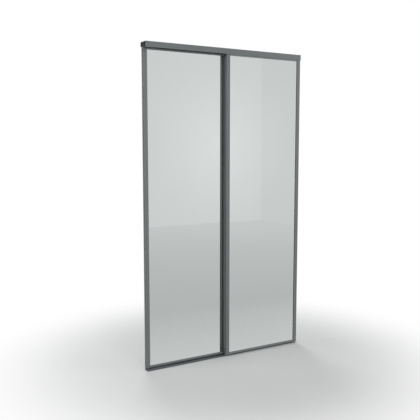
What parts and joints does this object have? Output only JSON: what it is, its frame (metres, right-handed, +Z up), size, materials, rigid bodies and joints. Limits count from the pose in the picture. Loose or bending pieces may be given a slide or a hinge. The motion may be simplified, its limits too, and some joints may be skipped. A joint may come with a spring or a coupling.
{
  "type": "sliding mirror closet door set",
  "caption": "Bypass sliding closet doors: slim framed full-height mirror leaves on adjustable floor rollers, guided at the head by an open double track with a plain fascia.",
  "frame": {"origin": "middle of the opening on the floor, under the middle of the top track", "axes": "+Z up, +X along the opening to the right seen from the room, -Y towards the room"},
  "size_m": [1.2, 0.0758, 2.1],
  "materials": {
    "graphite_track": "satin",
    "graphite_sill": "satin",
    "graphite_frame": "satin",
    "silvered_glass": "polished",
    "safety_film": "satin",
    "gasket": "matte",
    "zinc_steel": "satin",
    "brass": "satin",
    "nylon_white": "satin",
    "nylon_black": "matte",
    "brush_pile": "matte"
  },
  "bodies": {
    "tracks": {"top_track": "graphite_track", "bottom_track": "graphite_sill"},
    "front_door": {"front_left_stile": "graphite_frame", "front_right_stile": "graphite_frame", "front_top_rail": "graphite_frame", "front_bottom_rail": "graphite_frame", "front_mirror": "silvered_glass", "front_mirror_backing": "safety_film", "front_glazing_gasket": "gasket", "front_frame_screws": "zinc_steel", "front_roller_screws": "zinc_steel", "front_guide_pins": "zinc_steel", "front_left_guide_bracket": "nylon_black", "front_right_guide_bracket": "nylon_black", "front_left_roller_housing": "zinc_steel", "front_right_roller_housing": "zinc_steel", "front_jamb_brush": "brush_pile", "front_overlap_brush": "brush_pile"},
    "front_left_adjuster": {"front_left_height_adjuster": "zinc_steel"},
    "front_left_wedge": {"front_left_roller_wedge": "brass"},
    "front_left_carrier": {"front_left_roller_carrier": "zinc_steel", "front_left_wheel_axle": "zinc_steel"},
    "front_left_wheel": {"front_left_wheel": "nylon_white"},
    "front_left_guide": {"front_left_guide_roller": "nylon_white"},
    "front_right_adjuster": {"front_right_height_adjuster": "zinc_steel"},
    "front_right_wedge": {"front_right_roller_wedge": "brass"},
    "front_right_carrier": {"front_right_roller_carrier": "zinc_steel", "front_right_wheel_axle": "zinc_steel"},
    "front_right_wheel": {"front_right_wheel": "nylon_white"},
    "front_right_guide": {"front_right_guide_roller": "nylon_white"},
    "rear_door": {"rear_left_stile": "graphite_frame", "rear_right_stile": "graphite_frame", "rear_top_rail": "graphite_frame", "rear_bottom_rail": "graphite_frame", "rear_mirror": "silvered_glass", "rear_mirror_backing": "safety_film", "rear_glazing_gasket": "gasket", "rear_frame_screws": "zinc_steel", "rear_roller_screws": "zinc_steel", "rear_guide_pins": "zinc_steel", "rear_left_guide_bracket": "nylon_black", "rear_right_guide_bracket": "nylon_black", "rear_left_roller_housing": "zinc_steel", "rear_right_roller_housing": "zinc_steel", "rear_jamb_brush": "brush_pile"},
    "rear_left_adjuster": {"rear_left_height_adjuster": "zinc_steel"},
    "rear_left_wedge": {"rear_left_roller_wedge": "brass"},
    "rear_left_carrier": {"rear_left_roller_carrier": "zinc_steel", "rear_left_wheel_axle": "zinc_steel"},
    "rear_left_wheel": {"rear_left_wheel": "nylon_white"},
    "rear_left_guide": {"rear_left_guide_roller": "nylon_white"},
    "rear_right_adjuster": {"rear_right_height_adjuster": "zinc_steel"},
    "rear_right_wedge": {"rear_right_roller_wedge": "brass"},
    "rear_right_carrier": {"rear_right_roller_carrier": "zinc_steel", "rear_right_wheel_axle": "zinc_steel"},
    "rear_right_wheel": {"rear_right_wheel": "nylon_white"},
    "rear_right_guide": {"rear_right_guide_roller": "nylon_white"}
  },
  "joints": [
    {"name": "front_door_slide", "type": "slide", "parent": "tracks", "child": "front_door", "axis": [1, 0, 0], "range_m": [-0.585, 0]},
    {"name": "front_left_adjuster_turn", "type": "hinge", "parent": "front_door", "child": "front_left_adjuster", "pos_m": [0.0025, -0.01575, 0.03895], "axis": [1, 0, 0], "range_deg": [0, 3600]},
    {"name": "front_left_wedge_slide", "type": "slide", "parent": "front_door", "child": "front_left_wedge", "axis": [-1, 0, 0], "range_m": [0, 0.008]},
    {"name": "front_left_carrier_lift", "type": "slide", "parent": "front_door", "child": "front_left_carrier", "axis": [0, 0, 1], "range_m": [0, 0.004]},
    {"name": "front_left_wheel_spin", "type": "hinge", "parent": "front_left_carrier", "child": "front_left_wheel", "pos_m": [0.0435, -0.01575, 0.01815], "axis": [0, 1, 0], "continuous": true},
    {"name": "front_left_guide_spin", "type": "hinge", "parent": "front_door", "child": "front_left_guide", "pos_m": [0.0385, -0.01855, 2.079], "axis": [0, 0, 1], "continuous": true},
    {"name": "front_right_adjuster_turn", "type": "hinge", "parent": "front_door", "child": "front_right_adjuster", "pos_m": [0.5825, -0.01575, 0.03895], "axis": [-1, 0, 0], "range_deg": [0, 3600]},
    {"name": "front_right_wedge_slide", "type": "slide", "parent": "front_door", "child": "front_right_wedge", "axis": [1, 0, 0], "range_m": [0, 0.008]},
    {"name": "front_right_carrier_lift", "type": "slide", "parent": "front_door", "child": "front_right_carrier", "axis": [0, 0, 1], "range_m": [0, 0.004]},
    {"name": "front_right_wheel_spin", "type": "hinge", "parent": "front_right_carrier", "child": "front_right_wheel", "pos_m": [0.5415, -0.01575, 0.01815], "axis": [0, 1, 0], "continuous": true},
    {"name": "front_right_guide_spin", "type": "hinge", "parent": "front_door", "child": "front_right_guide", "pos_m": [0.5465, -0.01855, 2.079], "axis": [0, 0, 1], "continuous": true},
    {"name": "rear_door_slide", "type": "slide", "parent": "tracks", "child": "rear_door", "axis": [1, 0, 0], "range_m": [0, 0.585]},
    {"name": "rear_left_adjuster_turn", "type": "hinge", "parent": "rear_door", "child": "rear_left_adjuster", "pos_m": [-0.5825, 0.02135, 0.03895], "axis": [1, 0, 0], "range_deg": [0, 3600]},
    {"name": "rear_left_wedge_slide", "type": "slide", "parent": "rear_door", "child": "rear_left_wedge", "axis": [-1, 0, 0], "range_m": [0, 0.008]},
    {"name": "rear_left_carrier_lift", "type": "slide", "parent": "rear_door", "child": "rear_left_carrier", "axis": [0, 0, 1], "range_m": [0, 0.004]},
    {"name": "rear_left_wheel_spin", "type": "hinge", "parent": "rear_left_carrier", "child": "rear_left_wheel", "pos_m": [-0.5415, 0.02135, 0.01815], "axis": [0, 1, 0], "continuous": true},
    {"name": "rear_left_guide_spin", "type": "hinge", "parent": "rear_door", "child": "rear_left_guide", "pos_m": [-0.5465, 0.01855, 2.079], "axis": [0, 0, 1], "continuous": true},
    {"name": "rear_right_adjuster_turn", "type": "hinge", "parent": "rear_door", "child": "rear_right_adjuster", "pos_m": [-0.0025, 0.02135, 0.03895], "axis": [-1, 0, 0], "range_deg": [0, 3600]},
    {"name": "rear_right_wedge_slide", "type": "slide", "parent": "rear_door", "child": "rear_right_wedge", "axis": [1, 0, 0], "range_m": [0, 0.008]},
    {"name": "rear_right_carrier_lift", "type": "slide", "parent": "rear_door", "child": "rear_right_carrier", "axis": [0, 0, 1], "range_m": [0, 0.004]},
    {"name": "rear_right_wheel_spin", "type": "hinge", "parent": "rear_right_carrier", "child": "rear_right_wheel", "pos_m": [-0.0435, 0.02135, 0.01815], "axis": [0, 1, 0], "continuous": true},
    {"name": "rear_right_guide_spin", "type": "hinge", "parent": "rear_door", "child": "rear_right_guide", "pos_m": [-0.0385, 0.01855, 2.079], "axis": [0, 0, 1], "continuous": true}
  ],
  "couplings": [
    {"joint": "front_left_adjuster_turn", "follows": "front_left_wedge_slide", "rad_per_m": 7853.9},
    {"joint": "front_left_carrier_lift", "follows": "front_left_wedge_slide", "ratio": 0.5},
    {"joint": "front_left_wheel_spin", "follows": "front_door_slide", "rad_per_m": 100},
    {"joint": "front_left_guide_spin", "follows": "front_door_slide", "rad_per_m": -57.307},
    {"joint": "front_right_adjuster_turn", "follows": "front_right_wedge_slide", "rad_per_m": 7853.9},
    {"joint": "front_right_carrier_lift", "follows": "front_right_wedge_slide", "ratio": 0.5},
    {"joint": "front_right_wheel_spin", "follows": "front_door_slide", "rad_per_m": 100},
    {"joint": "front_right_guide_spin", "follows": "front_door_slide", "rad_per_m": -57.307},
    {"joint": "rear_left_adjuster_turn", "follows": "rear_left_wedge_slide", "rad_per_m": 7853.9},
    {"joint": "rear_left_carrier_lift", "follows": "rear_left_wedge_slide", "ratio": 0.5},
    {"joint": "rear_left_wheel_spin", "follows": "rear_door_slide", "rad_per_m": 100},
    {"joint": "rear_left_guide_spin", "follows": "rear_door_slide", "rad_per_m": -57.307},
    {"joint": "rear_right_adjuster_turn", "follows": "rear_right_wedge_slide", "rad_per_m": 7853.9},
    {"joint": "rear_right_carrier_lift", "follows": "rear_right_wedge_slide", "ratio": 0.5},
    {"joint": "rear_right_wheel_spin", "follows": "rear_door_slide", "rad_per_m": 100},
    {"joint": "rear_right_guide_spin", "follows": "rear_door_slide", "rad_per_m": -57.307}
  ]
}
